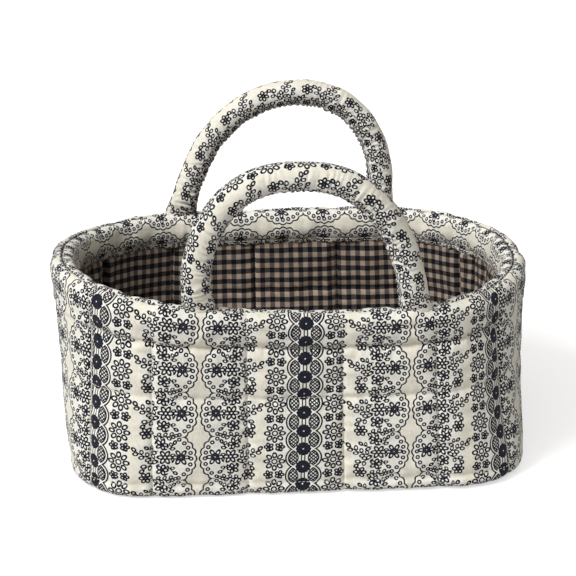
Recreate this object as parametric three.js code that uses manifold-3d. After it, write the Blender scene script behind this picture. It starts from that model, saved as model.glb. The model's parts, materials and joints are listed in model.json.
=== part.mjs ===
// Quilted cloth basket with a padded rim and two padded carrying handles.
// Millimetres, +Z up. The origin is the centre of the face that it rests on,
// +X runs along the long side and -Y is the front.
import * as THREE from 'three';
import Module from 'manifold-3d';
import { mergeVertices } from 'three/addons/utils/BufferGeometryUtils.js';

// Body, measured over the outside
const MOUTH_LENGTH = 380;
const MOUTH_WIDTH = 248;
const MOUTH_CORNER_RADIUS = 114;
const BODY_HEIGHT = 157;
const BASE_LENGTH = 357;
const BASE_WIDTH = 238;
const BASE_CORNER_RADIUS = 61;
const BASE_EDGE_RADIUS = 9;

// Layers of the wall and base, from outside to inside
const OUTER_CLOTH = 1.2;
const WADDING = 8;
const LINING_CLOTH = 1;
const LAYER_GAP = 0.3;

// Quilting of the walls: pads that stand proud between seams sewn through all the layers
const QUILT_SPACING = 72.5;
const QUILT_RISE = 1.8;
const QUILT_SEAM_DEPTH = 2;
const QUILT_SHOULDER = 8;
const LOW_SEAM_HEIGHT = 12.5;
const MIDDLE_SEAM_HEIGHT = 84.5;
const FRONT_SEAM_PLACE = 31.5;
const BACK_SEAM_PLACE = -24;
const SIDE_SEAM_CLEARANCE = 20;

// Rim: a thick roll that stands proud of the wall on both sides
const RIM_HEIGHT = 29;
const RIM_THICKNESS = 18;
const RIM_OVERHANG = 3;
const FACING_HEM_DEPTH = 2;
const SEAM_FLAT = 1;

// Handles: padded tubes bent to half an oval, rising from the rim
const HANDLE_DIAMETER = 22;
const HANDLE_SPAN = 166;
const HANDLE_RISE = 101;
const HANDLE_LEAN = THREE.MathUtils.degToRad(6);
const FRONT_HANDLE_OFFSET = 4.5;
const REAR_HANDLE_OFFSET = 1.5;
const FRONT_CROWN_SHIFT = -6;
const REAR_CROWN_SHIFT = 14;
const COVER_HOLE_ANGLE = THREE.MathUtils.degToRad(65);

// Flat ends of the handles, sewn into the rim
const TAB_WIDTH = 18;
const TAB_THICKNESS = 2.4;
const TAB_DEPTH = 16;

// Fineness of the facets
const STATION_SPACING = 24;
const QUILT_BEVEL = 11.5;
const EDGE_STEPS = 4;
const HANDLE_STEPS = 20;
const HANDLE_SIDES = 12;
const FOOT_STEPS = 3;

// Depths below the wall's outer face, and heights, that several pieces share
const WADDING_FACE = OUTER_CLOTH + LAYER_GAP;
const WADDING_BACK = WADDING_FACE + WADDING;
const LINING_FACE = WADDING_BACK + LAYER_GAP;
const LINING_BACK = LINING_FACE + LINING_CLOTH;
const FACING_HEM_FACE = LINING_BACK + LAYER_GAP + OUTER_CLOTH;
const RIM_INNER_FACE = RIM_THICKNESS - RIM_OVERHANG;
const RIM_MIDDLE = RIM_THICKNESS / 2 - RIM_OVERHANG;
const RIM_CORNER = RIM_THICKNESS / 2 - SEAM_FLAT;
const RIM_SHOULDER = BODY_HEIGHT - RIM_CORNER;
const WAIST = BODY_HEIGHT - RIM_HEIGHT;
const RIM_SWELL_START = WAIST + RIM_OVERHANG;
const BASE_WADDING_TOP = WADDING_FACE + WADDING;
const FLOOR_LINING_TOP = BASE_WADDING_TOP + LAYER_GAP + LINING_CLOTH;
const HANDLE_RADIUS = HANDLE_DIAMETER / 2;
const HANDLE_PLANE = MOUTH_WIDTH / 2 - RIM_THICKNESS / 2;
const HINGE_ABOVE_RIM = LAYER_GAP + HANDLE_RADIUS;
const HINGE_HEIGHT = BODY_HEIGHT + HINGE_ABOVE_RIM;
const FOOT_TURN = Math.asin(HINGE_ABOVE_RIM / HANDLE_RISE);

const CREAM = 0xebe2c8;
const GINGHAM = 0x554b4b;
const FLUFF = 0xf3f0e8;

const wasm = await Module();
wasm.setup();

// Half sizes and corner radius of the wall's outer face at one height
function wallOutline(height) {
  const share = height / BODY_HEIGHT;
  const { lerp } = THREE.MathUtils;
  const halfLength = lerp(BASE_LENGTH, MOUTH_LENGTH - 2 * RIM_OVERHANG, share) / 2;
  const halfWidth = lerp(BASE_WIDTH, MOUTH_WIDTH - 2 * RIM_OVERHANG, share) / 2;
  const corner = lerp(BASE_CORNER_RADIUS, MOUTH_CORNER_RADIUS - RIM_OVERHANG, share);
  return { halfLength, halfWidth, radius: Math.min(corner, halfLength, halfWidth) };
}

// Length of the wall's outer face at one height, from the middle of its front to a side seam
function quarterLength(height) {
  const { halfLength, halfWidth, radius } = wallOutline(height);
  return halfLength - radius + Math.PI / 2 * radius + halfWidth - radius;
}

// Upright quilting seams of one side, as distances from its middle, from right to left
function seamPlaces(side) {
  const sideSeam = quarterLength(BODY_HEIGHT / 2);
  const known = side < 0 ? FRONT_SEAM_PLACE : BACK_SEAM_PLACE;
  const last = sideSeam - SIDE_SEAM_CLEARANCE;
  const places = [sideSeam];
  for (let count = Math.floor((last - known) / QUILT_SPACING); known + count * QUILT_SPACING > -last; count -= 1) {
    places.push(known + count * QUILT_SPACING);
  }
  return [...places, -sideSeam];
}

// Stations from the right side seam, along the front or back, to the left side seam
function halfStations(side) {
  const seams = seamPlaces(side);
  const stations = [];
  for (let seam = 0; seam < seams.length - 1; seam += 1) {
    const gap = seams[seam] - seams[seam + 1];
    const steps = Math.max(1, Math.round(gap / STATION_SPACING));
    for (let step = 0; step < steps; step += 1) {
      const fromSeam = Math.min(step, steps - step) * gap / steps;
      stations.push({ side, share: (seams[seam] - gap * step / steps) / seams[0], fromSeam });
    }
  }
  return [...stations, { side, share: -1, fromSeam: 0 }];
}

// Stations all the way round, for the flat pieces of the base
function fullStations() {
  const alongBack = halfStations(1).filter(({ share }) => Math.abs(share) < 1);
  const alongFront = halfStations(-1).filter(({ share }) => Math.abs(share) < 1);
  return [...alongBack, ...alongFront.reverse()];
}

// The point at a station, a height and a depth below the wall's outer face
function wallPoint(station, depth, height) {
  const { halfLength, halfWidth, radius } = wallOutline(height);
  const end = Math.sign(station.share);
  if (Math.abs(station.share) === 1) {
    return new THREE.Vector3(end * (halfLength - depth), station.side * LAYER_GAP / 2, height);
  }
  const straight = halfLength - radius;
  const way = Math.abs(station.share) * quarterLength(height);
  const angle = THREE.MathUtils.clamp((way - straight) / radius, 0, Math.PI / 2);
  const past = Math.max(way - straight - Math.PI / 2 * radius, 0);
  const x = end * (Math.min(way, straight) + (radius - depth) * Math.sin(angle));
  const y = station.side * (halfWidth - radius + (radius - depth) * Math.cos(angle) - past);
  return new THREE.Vector3(x, y, height);
}

// How much of a pad's rise is reached at a distance from a seam, from 0 to 1
function padShare(distance) {
  return 1 - Math.exp(-distance / QUILT_SHOULDER);
}

// How far the quilting draws a quilted row in at a station: positive at seams, negative on pads
function quiltDepth(station, row) {
  if (row === undefined) {
    return 0;
  }
  const fromRow = Math.min(...[LOW_SEAM_HEIGHT, MIDDLE_SEAM_HEIGHT, WAIST].map((seam) => Math.abs(row - seam)));
  return QUILT_SEAM_DEPTH - (QUILT_SEAM_DEPTH + QUILT_RISE) * padShare(station.fromSeam) * padShare(fromRow);
}

// Heights at which the quilted face of the wall has points
function quiltRows() {
  return [
    LOW_SEAM_HEIGHT,
    LOW_SEAM_HEIGHT + QUILT_BEVEL,
    (LOW_SEAM_HEIGHT + MIDDLE_SEAM_HEIGHT) / 2,
    MIDDLE_SEAM_HEIGHT - QUILT_BEVEL,
    MIDDLE_SEAM_HEIGHT,
    MIDDLE_SEAM_HEIGHT + QUILT_BEVEL,
    WAIST - QUILT_BEVEL,
    WAIST - RIM_OVERHANG,
  ];
}

// Heights at which the smooth inner layers of the wall have points
function innerRows() {
  return [LOW_SEAM_HEIGHT, (LOW_SEAM_HEIGHT + MIDDLE_SEAM_HEIGHT) / 2, MIDDLE_SEAM_HEIGHT, WAIST - QUILT_BEVEL];
}

// A closed body from rings of points: walls between the rings and a cap at each end. Each quad is split
// from its lower corner on one ring to its upper corner on the next, so that layers stay parallel
function ringBody(rings, capTriangles) {
  const size = rings[0].length;
  const positions = rings.flat().flatMap((point) => point.toArray());
  const indices = [];
  for (let ring = 0; ring < rings.length - 1; ring += 1) {
    for (let corner = 0; corner < size; corner += 1) {
      const here = ring * size + corner;
      const next = ring * size + (corner + 1) % size;
      if (rings[ring][(corner + 1) % size].z >= rings[ring][corner].z) {
        indices.push(here, next, next + size, here, next + size, here + size);
      } else {
        indices.push(here, next, here + size, next, next + size, here + size);
      }
    }
  }
  const last = (rings.length - 1) * size;
  for (const [a, b, c] of capTriangles) {
    indices.push(a, c, b, last + a, last + b, last + c);
  }
  const geometry = new THREE.BufferGeometry();
  geometry.setAttribute('position', new THREE.Float32BufferAttribute(positions, 3));
  geometry.setIndex(indices);
  return facingOut(geometry);
}

// Signed volume under the triangles: negative when they face inwards
function signedVolume(geometry) {
  const { array } = geometry.getAttribute('position');
  const corners = [...geometry.index.array].map((index) => new THREE.Vector3().fromArray(array, 3 * index));
  let volume = 0;
  for (let first = 0; first < corners.length; first += 3) {
    volume += corners[first].dot(corners[first + 1].clone().cross(corners[first + 2])) / 6;
  }
  return volume;
}

// The same geometry with its faces pointing out
function facingOut(geometry) {
  if (signedVolume(geometry) < 0) {
    geometry.setIndex([...geometry.index.array].reverse());
  }
  geometry.computeVertexNormals();
  return geometry;
}

// Triangles that fill a flat outline, turning the same way as its points
function fillOutline(outline) {
  const triangles = THREE.ShapeUtils.triangulateShape(outline, []);
  return THREE.ShapeUtils.isClockWise(outline) ? triangles.map(([a, b, c]) => [c, b, a]) : triangles;
}

// A strip along the front or back wall with one section, given as [depth, height] points;
// a point that follows the quilting also names its row
function wallStrip(section, side) {
  const rings = halfStations(side).map((station) => section.map(
    ([depth, height, row]) => wallPoint(station, depth + quiltDepth(station, row), height),
  ));
  const outline = section.map(([depth, height]) => new THREE.Vector2(depth, height));
  return ringBody(rings, fillOutline(outline));
}

// A flat piece of the base between two heights, its edge a depth inside the wall's face
function basePlate(depth, bottom, top) {
  const rings = [bottom, top].map((height) => fullStations().map((station) => wallPoint(station, depth, height)));
  const outline = rings[0].map((point) => new THREE.Vector2(point.x, point.y));
  return ringBody(rings, fillOutline(outline));
}

// Points of an arc in a section, between two angles in degrees
function arc(centre, radius, from, to) {
  const points = [];
  for (let step = 0; step <= EDGE_STEPS; step += 1) {
    const angle = THREE.MathUtils.degToRad(from + (to - from) * step / EDGE_STEPS);
    points.push([centre[0] + radius * Math.cos(angle), centre[1] + radius * Math.sin(angle)]);
  }
  return points;
}

// The path moved to its right by one thickness, with mitred corners
function shiftedPath(path, thickness) {
  return path.map((point, index) => {
    const before = direction(path[Math.max(index - 1, 0)], path[Math.max(index, 1)]);
    const after = direction(path[Math.min(index, path.length - 2)], path[Math.min(index + 1, path.length - 1)]);
    const mitre = new THREE.Vector2(before.y + after.y, -before.x - after.x).normalize();
    const stretch = thickness / mitre.dot(new THREE.Vector2(before.y, -before.x));
    return [point[0] + mitre.x * stretch, point[1] + mitre.y * stretch, point[2]];
  });
}

function direction(from, to) {
  return new THREE.Vector2(to[0] - from[0], to[1] - from[1]).normalize();
}

// A closed section of cloth that follows a path, the cloth lying to the path's right
function clothSection(path, thickness) {
  return [...path, ...shiftedPath(path, thickness).reverse()];
}

// Outer cloth: from the base seam, round the lower edge, up the wall and over half the rim
function outerPath() {
  const turn = [BASE_EDGE_RADIUS, BASE_EDGE_RADIUS + LAYER_GAP];
  return [
    [BASE_EDGE_RADIUS + SEAM_FLAT, LAYER_GAP],
    ...arc(turn, BASE_EDGE_RADIUS, 270, 180),
    ...quiltRows().map((row) => [0, row, row]),
    [-RIM_OVERHANG, RIM_SWELL_START],
    ...arc([RIM_MIDDLE - SEAM_FLAT, RIM_SHOULDER], RIM_CORNER, 180, 90),
    [RIM_MIDDLE - LAYER_GAP / 2, BODY_HEIGHT],
  ];
}

// Rim facing: from the seam on top of the rim down its inner side to the hem on the lining
function facingPath() {
  return [
    [RIM_MIDDLE + LAYER_GAP / 2, BODY_HEIGHT],
    ...arc([RIM_MIDDLE + SEAM_FLAT, RIM_SHOULDER], RIM_CORNER, 90, 0),
    [RIM_INNER_FACE, RIM_SWELL_START],
    [FACING_HEM_FACE, WAIST - RIM_OVERHANG],
    [FACING_HEM_FACE, WAIST - RIM_OVERHANG - FACING_HEM_DEPTH],
  ];
}

// Wadding of the wall: it follows the lower edge and ends under the rim
function wallWaddingSection() {
  const turn = [BASE_EDGE_RADIUS, BASE_EDGE_RADIUS + LAYER_GAP];
  return [
    ...arc(turn, BASE_EDGE_RADIUS - WADDING_FACE, 270, 180),
    ...quiltRows().map((row) => [WADDING_FACE, row, row]),
    [WADDING_FACE, WAIST],
    [WADDING_BACK, WAIST],
    ...innerRows().reverse().map((row) => [WADDING_BACK, row]),
    [WADDING_BACK, LAYER_GAP + WADDING_FACE],
  ];
}

// Lining of the wall: from the floor lining to its top edge behind the facing
function liningSection() {
  const foot = BASE_WADDING_TOP + LAYER_GAP;
  return [
    [LINING_FACE, foot],
    ...innerRows().map((row) => [LINING_FACE, row]),
    [LINING_FACE, WAIST],
    [LINING_BACK, WAIST],
    ...innerRows().reverse().map((row) => [LINING_BACK, row]),
    [LINING_BACK, foot],
  ];
}

// Filling of the rim: it fills the roll and stands on the wall's wadding
function rimFillerSection() {
  const corner = RIM_CORNER - WADDING_FACE;
  const foot = WAIST + LAYER_GAP;
  return [
    [WADDING_FACE, foot],
    [WADDING_FACE - RIM_OVERHANG, RIM_SWELL_START],
    ...arc([RIM_MIDDLE - SEAM_FLAT, RIM_SHOULDER], corner, 180, 90),
    ...arc([RIM_MIDDLE + SEAM_FLAT, RIM_SHOULDER], corner, 90, 0),
    [RIM_INNER_FACE - WADDING_FACE, RIM_SWELL_START],
    [WADDING_BACK, foot],
  ];
}

// A box from its centre and sizes
function boxAt(centre, sizes) {
  return new THREE.BoxGeometry(...sizes).translate(...centre);
}

// Where each handle's feet stand along the rim
function footPlaces(handle) {
  const reach = HANDLE_SPAN / 2 * Math.cos(FOOT_TURN);
  const lean = handle.crownShift * Math.sin(FOOT_TURN);
  return [
    { end: 'left', x: handle.offset + lean - reach },
    { end: 'right', x: handle.offset + lean + reach },
  ];
}

// The flat end of a handle, let into the top of the rim; clearance grows it to its pocket
function tabBox(place, side, clearance) {
  const top = BODY_HEIGHT - WADDING_FACE - LAYER_GAP;
  const raised = clearance > 0 ? WADDING_FACE : 0;
  const height = TAB_DEPTH + clearance + raised;
  const centre = [place.x, side * HANDLE_PLANE, top + raised - height / 2];
  return boxAt(centre, [TAB_WIDTH + 2 * clearance, TAB_THICKNESS + 2 * clearance, height]);
}

// Conversions between three.js geometry and solids that can be cut
function toSolid(geometry) {
  const bare = geometry.clone();
  bare.deleteAttribute('normal');
  bare.deleteAttribute('uv');
  const merged = mergeVertices(bare);
  const vertProperties = new Float32Array(merged.getAttribute('position').array);
  const triVerts = new Uint32Array(merged.index.array);
  return new wasm.Manifold(new wasm.Mesh({ numProp: 3, vertProperties, triVerts }));
}

function toGeometry(solid) {
  const { vertProperties, triVerts } = solid.getMesh();
  const geometry = new THREE.BufferGeometry();
  geometry.setAttribute('position', new THREE.BufferAttribute(new Float32Array(vertProperties), 3));
  geometry.setIndex([...triVerts]);
  geometry.computeVertexNormals();
  return geometry;
}

// Rim filling of one side, with a pocket for each flat handle end
function rimFiller(handle) {
  const roll = toSolid(wallStrip(rimFillerSection(), handle.side));
  const pocketed = footPlaces(handle).reduce(
    (solid, place) => solid.subtract(toSolid(tabBox(place, handle.side, LAYER_GAP))),
    roll,
  );
  return toGeometry(pocketed);
}

// Centre and direction of the handle's tube at a turn from 0 (left) to pi (right),
// measured from the hinge line between its feet
function handlePoint(turn, crownShift) {
  const x = -HANDLE_SPAN / 2 * Math.cos(turn) + crownShift * Math.sin(turn);
  const z = HANDLE_RISE * Math.sin(turn) - HINGE_ABOVE_RIM;
  const along = new THREE.Vector2(
    HANDLE_SPAN / 2 * Math.sin(turn) + crownShift * Math.cos(turn),
    HANDLE_RISE * Math.cos(turn),
  ).normalize();
  return { x, z, along };
}

// A ring of the tube's skin round one point of its centre line
function handleRing(point, slide, radius) {
  const ring = [];
  for (let side = 0; side < HANDLE_SIDES; side += 1) {
    const angle = 2 * Math.PI * side / HANDLE_SIDES;
    const across = radius * Math.cos(angle);
    ring.push(new THREE.Vector3(
      point.x + slide * point.along.x - across * point.along.y,
      radius * Math.sin(angle),
      point.z + slide * point.along.y + across * point.along.x,
    ));
  }
  return ring;
}

// Rings from one rounded foot, over the arch, to the other
function handleRings(radius, crownShift) {
  const left = handlePoint(FOOT_TURN, crownShift);
  const right = handlePoint(Math.PI - FOOT_TURN, crownShift);
  const feet = [];
  for (let step = FOOT_STEPS; step > 0; step -= 1) {
    const angle = COVER_HOLE_ANGLE * step / FOOT_STEPS;
    feet.push({ slide: radius * Math.sin(angle), reach: radius * Math.cos(angle) });
  }
  const rings = feet.map(({ slide, reach }) => handleRing(left, -slide, reach));
  for (let step = 0; step <= HANDLE_STEPS; step += 1) {
    const turn = FOOT_TURN + (Math.PI - 2 * FOOT_TURN) * step / HANDLE_STEPS;
    rings.push(handleRing(handlePoint(turn, crownShift), 0, radius));
  }
  return [...rings, ...feet.reverse().map(({ slide, reach }) => handleRing(right, slide, reach))];
}

// Triangles that close a ring of the handle's tube
function ringCap() {
  const triangles = [];
  for (let corner = 1; corner < HANDLE_SIDES - 1; corner += 1) {
    triangles.push([0, corner, corner + 1]);
  }
  return triangles;
}

// Filling of a handle, rounded at both feet
function handleFiller(handle) {
  const radius = HANDLE_RADIUS - OUTER_CLOTH - LAYER_GAP;
  return ringBody(handleRings(radius, handle.crownShift), ringCap());
}

// Cover of a handle: a cloth tube, open where its flat ends go into the rim
function handleCover(handle) {
  const outside = handleRings(HANDLE_RADIUS, handle.crownShift);
  const inside = handleRings(HANDLE_RADIUS - OUTER_CLOTH, handle.crownShift);
  const loop = [...outside, ...inside.reverse()];
  return ringBody([...loop, loop[0]], []);
}

// A named mesh with its own material
function piece(name, geometry, colour, roughness) {
  const material = new THREE.MeshStandardMaterial({ color: colour, roughness, metalness: 0 });
  const mesh = new THREE.Mesh(geometry, material);
  mesh.name = name;
  return mesh;
}

// Wall, lining, facing and rim filling of one long side
function sideOfBody(handle) {
  const { side, word } = handle;
  const half = new THREE.Group();
  half.add(
    piece(`outer_${word}_panel`, wallStrip(clothSection(outerPath(), OUTER_CLOTH), side), CREAM, 0.9),
    piece(`wall_wadding_${word}`, wallStrip(wallWaddingSection(), side), FLUFF, 1),
    piece(`lining_${word}`, wallStrip(liningSection(), side), GINGHAM, 0.9),
    piece(`rim_facing_${word}`, wallStrip(clothSection(facingPath(), OUTER_CLOTH), side), CREAM, 0.9),
    piece(`rim_filler_${word}`, rimFiller(handle), FLUFF, 1),
  );
  return half;
}

// Outer cloth, wadding and lining of the base
function base() {
  const floor = new THREE.Group();
  const liningFoot = BASE_WADDING_TOP + LAYER_GAP;
  floor.add(
    piece('outer_base_panel', basePlate(BASE_EDGE_RADIUS + SEAM_FLAT + LAYER_GAP, 0, OUTER_CLOTH), CREAM, 0.9),
    piece('base_wadding', basePlate(LINING_FACE, WADDING_FACE, BASE_WADDING_TOP), FLUFF, 1),
    piece('lining_base', basePlate(LINING_BACK + LAYER_GAP, liningFoot, FLOOR_LINING_TOP), GINGHAM, 0.9),
  );
  return floor;
}

// One handle, leaning outwards from its hinge line
function handleArch(handle) {
  const arch = new THREE.Group();
  arch.position.set(handle.offset, handle.side * HANDLE_PLANE, HINGE_HEIGHT);
  arch.rotation.x = -handle.side * HANDLE_LEAN;
  arch.add(
    piece(`${handle.name}_cover`, handleCover(handle), CREAM, 0.9),
    piece(`${handle.name}_filler`, handleFiller(handle), FLUFF, 1),
  );
  return arch;
}

// The flat ends of one handle
function handleTabs(handle) {
  const tabs = new THREE.Group();
  for (const place of footPlaces(handle)) {
    tabs.add(piece(`${handle.name}_${place.end}_tab`, tabBox(place, handle.side, 0), CREAM, 0.9));
  }
  return tabs;
}

const handles = [
  { name: 'front_handle', word: 'front', side: -1, offset: FRONT_HANDLE_OFFSET, crownShift: FRONT_CROWN_SHIFT },
  { name: 'rear_handle', word: 'back', side: 1, offset: REAR_HANDLE_OFFSET, crownShift: REAR_CROWN_SHIFT },
];

const group = new THREE.Group();
group.add(base());
for (const handle of handles) {
  group.add(sideOfBody(handle), handleArch(handle), handleTabs(handle));
}

export default group;
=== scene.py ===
# %% [markdown]
# A quilted cloth basket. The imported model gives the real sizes, and this lesson dresses it: cloth panels
# that puff up between their quilting seams, a thick rolled rim, a checked lining, padded handles and their
# thread. Everything is in metres in Blender, but cloth is planned in millimetres, as a maker measures it.

# %% Load the frame
import json

import bmesh
import bpy
import numpy as np
from mathutils import Matrix, Vector

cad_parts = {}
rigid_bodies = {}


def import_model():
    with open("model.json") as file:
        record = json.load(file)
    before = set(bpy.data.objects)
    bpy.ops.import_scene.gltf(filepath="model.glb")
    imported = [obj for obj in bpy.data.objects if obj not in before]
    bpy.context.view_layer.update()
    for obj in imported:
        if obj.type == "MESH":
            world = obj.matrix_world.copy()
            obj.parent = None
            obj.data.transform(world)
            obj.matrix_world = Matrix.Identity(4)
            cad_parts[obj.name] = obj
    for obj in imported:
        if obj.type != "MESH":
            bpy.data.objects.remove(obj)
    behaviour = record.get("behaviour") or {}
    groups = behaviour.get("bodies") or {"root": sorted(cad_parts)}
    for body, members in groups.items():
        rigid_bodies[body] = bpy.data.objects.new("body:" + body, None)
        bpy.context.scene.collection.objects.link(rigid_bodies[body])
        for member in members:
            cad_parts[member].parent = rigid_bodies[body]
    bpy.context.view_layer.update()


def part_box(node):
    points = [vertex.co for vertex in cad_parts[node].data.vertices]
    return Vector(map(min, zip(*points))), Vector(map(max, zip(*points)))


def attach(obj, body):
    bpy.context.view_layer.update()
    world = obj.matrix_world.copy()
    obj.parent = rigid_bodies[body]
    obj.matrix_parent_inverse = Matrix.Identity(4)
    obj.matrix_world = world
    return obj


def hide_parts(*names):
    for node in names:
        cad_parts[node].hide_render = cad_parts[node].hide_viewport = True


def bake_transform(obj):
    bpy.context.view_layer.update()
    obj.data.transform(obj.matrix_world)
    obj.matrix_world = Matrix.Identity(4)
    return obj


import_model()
MM = 0.001


def box_mm(node):
    """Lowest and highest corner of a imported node, in millimetres."""
    return tuple(np.array(corner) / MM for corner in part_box(node))


def linked(name, data):
    """A new object that holds some data, in the scene."""
    made = bpy.data.objects.new(name, data)
    bpy.context.collection.objects.link(made)
    return made


# %% [markdown]
# The camera first, because every later choice is judged through it. Its distance, height and turn were
# found by fitting the outline of the mouth and of the base, so the object sits in the picture as it does
# in the photo.

# %% Camera
IMAGE_SIZE = 576
FOCAL_PIXELS = 1744.8
SENSOR_WIDTH = 36.0
CAMERA_DISTANCE = 1413.5 * MM
CAMERA_HEIGHT_ANGLE = np.radians(20.313)
CAMERA_TURN = np.radians(-3.756)
CAMERA_ROLL = np.radians(-0.262)
LOOKED_AT = Vector((-1.1, 0.0, 126.3)) * MM


def make_camera():
    """A camera on the line that looks at the middle of the basket."""
    level = np.cos(CAMERA_HEIGHT_ANGLE)
    back = Vector((np.sin(CAMERA_TURN) * level, -np.cos(CAMERA_TURN) * level, np.sin(CAMERA_HEIGHT_ANGLE)))
    data = bpy.data.cameras.new("camera")
    data.sensor_width = SENSOR_WIDTH
    data.lens = FOCAL_PIXELS / IMAGE_SIZE * SENSOR_WIDTH
    camera = linked("camera", data)
    aim = back.to_track_quat("Z", "Y").to_matrix().to_4x4()
    roll = Matrix.Rotation(CAMERA_ROLL, 4, "Z")
    camera.matrix_world = Matrix.Translation(LOOKED_AT + back * CAMERA_DISTANCE) @ aim @ roll
    bpy.context.scene.camera = camera


make_camera()
bpy.context.scene.view_settings.view_transform = "Standard"
print("lens", round(FOCAL_PIXELS / IMAGE_SIZE * SENSOR_WIDTH, 1), "mm")

# %% [markdown]
# Shader maths reads better as a sum than as a tangle of nodes. One small class wraps a socket, so that
# `1 - mask` or `abs(x) < 0.3` adds the Math nodes by itself. Any other node comes from its `node` method.


# %% A class for shader sums
class Sum:
    """A shader socket that takes part in Python sums."""

    def __init__(self, tree, socket):
        self.tree = tree
        self.socket = socket

    def node(self, kind, settings=None, sockets=None, out=0):
        """Adds a node: its settings first, then the values or links of its sockets."""
        made = self.tree.nodes.new(kind)
        for name, value in (settings or {}).items():
            setattr(made, name, value)
        for key, value in (sockets or {}).items():
            if isinstance(value, Sum):
                self.tree.links.new(value.socket, made.inputs[key])
            else:
                made.inputs[key].default_value = value
        return Sum(self.tree, made.outputs[out])

    def math(self, operation, *values):
        return self.node("ShaderNodeMath", {"operation": operation}, dict(enumerate(values)))

    def __add__(self, other):
        return self.math("ADD", self, other)

    def __radd__(self, other):
        return self.math("ADD", other, self)

    def __sub__(self, other):
        return self.math("SUBTRACT", self, other)

    def __rsub__(self, other):
        return self.math("SUBTRACT", other, self)

    def __mul__(self, other):
        return self.math("MULTIPLY", self, other)

    def __rmul__(self, other):
        return self.math("MULTIPLY", other, self)

    def __truediv__(self, other):
        return self.math("DIVIDE", self, other)

    def __abs__(self):
        return self.math("ABSOLUTE", self)

    def __lt__(self, other):
        return self.math("LESS_THAN", self, other)

    def __gt__(self, other):
        return self.math("GREATER_THAN", self, other)

    def __and__(self, other):
        return self.math("MINIMUM", self, other)

    def __or__(self, other):
        return self.math("MAXIMUM", self, other)

    def sine(self):
        return self.math("SINE", self)

    def cosine(self):
        return self.math("COSINE", self)

    def wrapped(self, period):
        """The distance to the nearest multiple of the period, with its sign."""
        return self.math("FLOORED_MODULO", self + period / 2, period) - period / 2

    def angle_to(self, across):
        """The angle of the point (across, self)."""
        return self.math("ARCTAN2", self, across)

    def length_with(self, other):
        """The length of the vector (self, other)."""
        joined = self.node("ShaderNodeCombineXYZ", {}, {0: self, 1: other})
        return self.node("ShaderNodeVectorMath", {"operation": "LENGTH"}, {0: joined}, "Value")

    def mixed(self, first, second):
        """A colour that goes from first to second as this mask goes from 0 to 1."""
        settings = {"data_type": "RGBA"}
        return self.node("ShaderNodeMix", settings, {0: self, 6: first, 7: second}, 2)


def new_material(name):
    """An empty node material with its principled shader, and a sum to start from."""
    material = bpy.data.materials.new(name)
    material.use_nodes = True
    tree = material.node_tree
    shader = tree.nodes["Principled BSDF"]
    return material, shader, Sum(tree, None)


def cloth_uv(start):
    """Across and along the cloth, in millimetres, from the piece's own map."""
    uv = start.node("ShaderNodeUVMap", {"uv_map": "cloth_mm"})
    split = start.node("ShaderNodeSeparateXYZ", {}, {0: uv})
    along = Sum(start.tree, split.socket.node.outputs[1])
    return split, along


# %% [markdown]
# The printed cotton is a lace stripe, an old kind of pattern: a ribbon of rosettes with netted leaves on
# both sides, rows of daisies, and scalloped medallions with sprays. It could be painted as a picture, but
# then it would blur close by. Here each motif is a formula on the distance to a curve, sharp at any size.
# Folding the coordinates repeats a motif, along the stripe with `wrapped` and round a flower with the fold
# of its angle.

# %% Lines, petals and flowers
LINE = 1.13
FINE_LINE = 0.88


def ink(distance, width=LINE):
    """A drawn line where the distance to a curve is small."""
    return abs(distance) < width / 2


def folded_round(x, y, copies, distance, turn=0.0):
    """Coordinates in the nearest of several copies that stand round a point."""
    reach = x.length_with(y)
    angle = (y.angle_to(x) + turn).wrapped(2 * np.pi / copies)
    return reach * angle.cosine() - distance, reach * angle.sine()


def petal(x, y, half_x, half_y, width=LINE):
    """An open oval: its outline, and the cloth that it covers."""
    shape = (x / half_x).length_with(y / half_y)
    return ink(shape - 1.0, width / min(half_x, half_y)), shape < 1.0


def laid_over(top, *below):
    """Motifs laid over each other, so that a lower one stops at the edge of an upper one."""
    lines, cover = top
    for lower_lines, lower_cover in below:
        lines = lines | (lower_lines & (1.0 - cover))
        cover = cover | lower_cover
    return lines, cover


def leaf(x, y, half_x, half_y):
    """A leaf filled with ink."""
    filled = (x / half_x).length_with(y / half_y) < 1.0
    return filled, filled


def flower(x, y, petals, distance, half_x, half_y, centre):
    """Open petals round a small ring."""
    petal_x, petal_y = folded_round(x, y, petals, distance)
    middle = petal(x, y, centre, centre)
    return laid_over(middle, petal(petal_x, petal_y, half_x, half_y))


print("printed lines", LINE, "and", FINE_LINE, "mm wide")

# %% [markdown]
# The ribbon runs down the middle of the stripe, with daisies beside it. The stripe is the same on both
# sides, so everything is drawn once, on the distance from the ribbon's middle. Seven rosettes go with
# three medallions.

# %% The ribbon and the daisies
STRIPE_HALF = 78.5
SCALLOP_PITCH = 36.5
ROSETTE_PITCH = SCALLOP_PITCH * 3 / 7
ROSETTE_RADIUS = 5.1
ROSETTE_DOT = 0.55
LOBE_DEPTH = 0.65
BAR_PLACE = 1.2
LEAF_ARC = 7.5
LEAF_CENTRES = (3.4, 11.3)
LEAF_OVERSHOOT = 0.6
NET_PITCH = 2.1
DIAGONAL = 0.707
OUTER_ARC = 9.6
DAISY_PITCH = SCALLOP_PITCH * 2 / 3
DAISY_PLACE = 21.6
SMALL_FLOWERS_PLACE = 21.8
SMALL_FLOWERS_APART = 4.1


def rosettes(across, along):
    """Dark rosettes of twelve lobes with a pale dot, joined by short double bars."""
    y = along.wrapped(ROSETTE_PITCH)
    reach = across.length_with(y)
    lobes = abs((y.angle_to(across) * 6.0).cosine())
    disc = (reach - lobes * LOBE_DEPTH < ROSETTE_RADIUS) & (reach > ROSETTE_DOT)
    between = (along - ROSETTE_PITCH / 2).wrapped(ROSETTE_PITCH)
    bars = ink(across - BAR_PLACE, 0.9) & (abs(between) < 3.0)
    return disc | bars


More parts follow.
